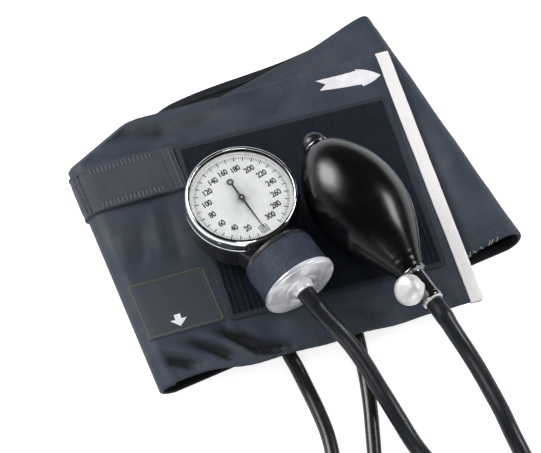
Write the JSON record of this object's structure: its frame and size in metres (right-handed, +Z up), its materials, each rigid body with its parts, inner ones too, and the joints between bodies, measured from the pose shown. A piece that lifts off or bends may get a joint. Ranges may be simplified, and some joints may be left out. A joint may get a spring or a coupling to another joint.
{
  "type": "aneroid sphygmomanometer",
  "caption": "Aneroid sphygmomanometer, put away: a rolled cuff with its dial gauge and inflation bulb on it, release valve, bladder tubes and air hoses.",
  "frame": {"origin": "middle of the footprint of the rolled cuff with the gauge and the bulb on it, on the table; the air lines reach beyond it", "axes": "+X along the cuff's top layer towards its free end, +Y across the cuff away from the side where the air lines leave, +Z up"},
  "size_m": [0.1966, 0.3587, 0.0613],
  "materials": {
    "slate_nylon": "woven, slightly satin",
    "navy_nylon": "woven, matte",
    "bladder_rubber": "satin",
    "hose_rubber": "satin",
    "hook_tape": "ribbed hook tape, matte",
    "loop_tape": "brushed",
    "white_tape": "folded tape",
    "label_weave": "woven, matte",
    "webbing": "grosgrain",
    "case_paint": "satin",
    "drum_paint": "fine hammer texture",
    "chrome": "polished",
    "beryllium_bronze": "satin",
    "steel": "satin",
    "spring_steel": "polished",
    "blued_steel": "blued",
    "brass": "brushed",
    "dial_white": "matte white",
    "pointer_black": "matte black",
    "seal_rubber": "matte",
    "crystal": "clear",
    "bulb_rubber": "glossy",
    "satin_nickel": "satin",
    "seat_fibre": "matte",
    "connector_plastic": "natural white"
  },
  "bodies": {
    "cuff_and_gauge": {"cuff_cover": "slate_nylon", "cuff_lining": "navy_nylon", "bladder": "bladder_rubber", "bladder_ports": "hose_rubber", "hook_pad": "hook_tape", "loop_pad": "loop_tape", "end_binding": "white_tape", "woven_label": "label_weave", "gauge_strap": "webbing", "gauge_case": "case_paint", "bellows_drum": "drum_paint", "drum_end_cap": "chrome", "bellows_capsule": "beryllium_bronze", "movement_lower_plate": "brass", "movement_upper_plate": "brass", "movement_pillars": "brass", "movement_screws": "steel", "hairspring": "blued_steel", "hairspring_stud": "brass", "dial": "dial_white", "dial_ring": "dial_white", "crystal_gasket": "seal_rubber", "crystal": "crystal", "bezel": "chrome", "gauge_clip": "spring_steel", "clip_rivets": "steel", "inflation_bulb": "bulb_rubber", "inlet_valve_body": "satin_nickel", "inlet_screen": "steel", "valve_body": "satin_nickel", "packing_ring": "seal_rubber", "gauge_hose": "hose_rubber", "bulb_hose": "hose_rubber", "gauge_line_tube": "hose_rubber", "bulb_line_tube": "hose_rubber", "gauge_line_connector": "connector_plastic", "bulb_line_connector": "connector_plastic"},
    "sector": {"sector_gear": "brass"},
    "pinion": {"pinion_arbor": "steel", "pointer": "pointer_black"},
    "rod": {"push_rod": "steel"},
    "seat": {"seat_pad": "seat_fibre"},
    "thumb": {"thumb_screw": "satin_nickel"},
    "inlet_flap": {"inlet_flap": "seal_rubber"},
    "outlet_flap": {"outlet_flap": "seal_rubber"}
  },
  "joints": [
    {"name": "sector_swing", "type": "hinge", "parent": "cuff_and_gauge", "child": "sector", "pos_m": [-0.028, -0.02301, 0.0355], "axis": [0, 0, 1], "range_deg": [0, 33.75], "stiffness_Nm_per_rad": 0.002, "springref_deg": -2.86},
    {"name": "pointer_turn", "type": "hinge", "parent": "cuff_and_gauge", "child": "pinion", "pos_m": [-0.02822, -0.00651, 0.0355], "axis": [0, 0, 1], "range_deg": [-337.5, 0], "deforming": ["hairspring"]},
    {"name": "rod_slide", "type": "slide", "parent": "cuff_and_gauge", "child": "rod", "axis": [-0.2554, 0.9668, 0], "range_m": [0, 0.00243], "deforming": ["bellows_capsule"]},
    {"name": "seat_lift", "type": "slide", "parent": "cuff_and_gauge", "child": "seat", "axis": [-0.7308, -0.2315, 0.6421], "range_m": [0, 0.0012]},
    {"name": "thumb_turn", "type": "hinge", "parent": "seat", "child": "thumb", "pos_m": [0.03823, -0.07456, 0.0366], "axis": [-0.7308, -0.2315, 0.6421], "range_deg": [0, 540]},
    {"name": "inlet_flap_lift", "type": "slide", "parent": "cuff_and_gauge", "child": "inlet_flap", "axis": [0.2653, -0.9631, -0.0454], "range_m": [0, 0.0006], "stiffness_N_per_m": 1, "springref_m": -0.0001},
    {"name": "outlet_flap_lift", "type": "slide", "parent": "cuff_and_gauge", "child": "outlet_flap", "axis": [0.2653, -0.9631, -0.0454], "range_m": [0, 0.0006], "stiffness_N_per_m": 1, "springref_m": -0.0001}
  ],
  "couplings": [
    {"joint": "sector_swing", "follows": "rod_slide", "rad_per_m": 242.73},
    {"joint": "pointer_turn", "follows": "rod_slide", "rad_per_m": -2427.3},
    {"joint": "thumb_turn", "follows": "seat_lift", "rad_per_m": 7854}
  ]
}
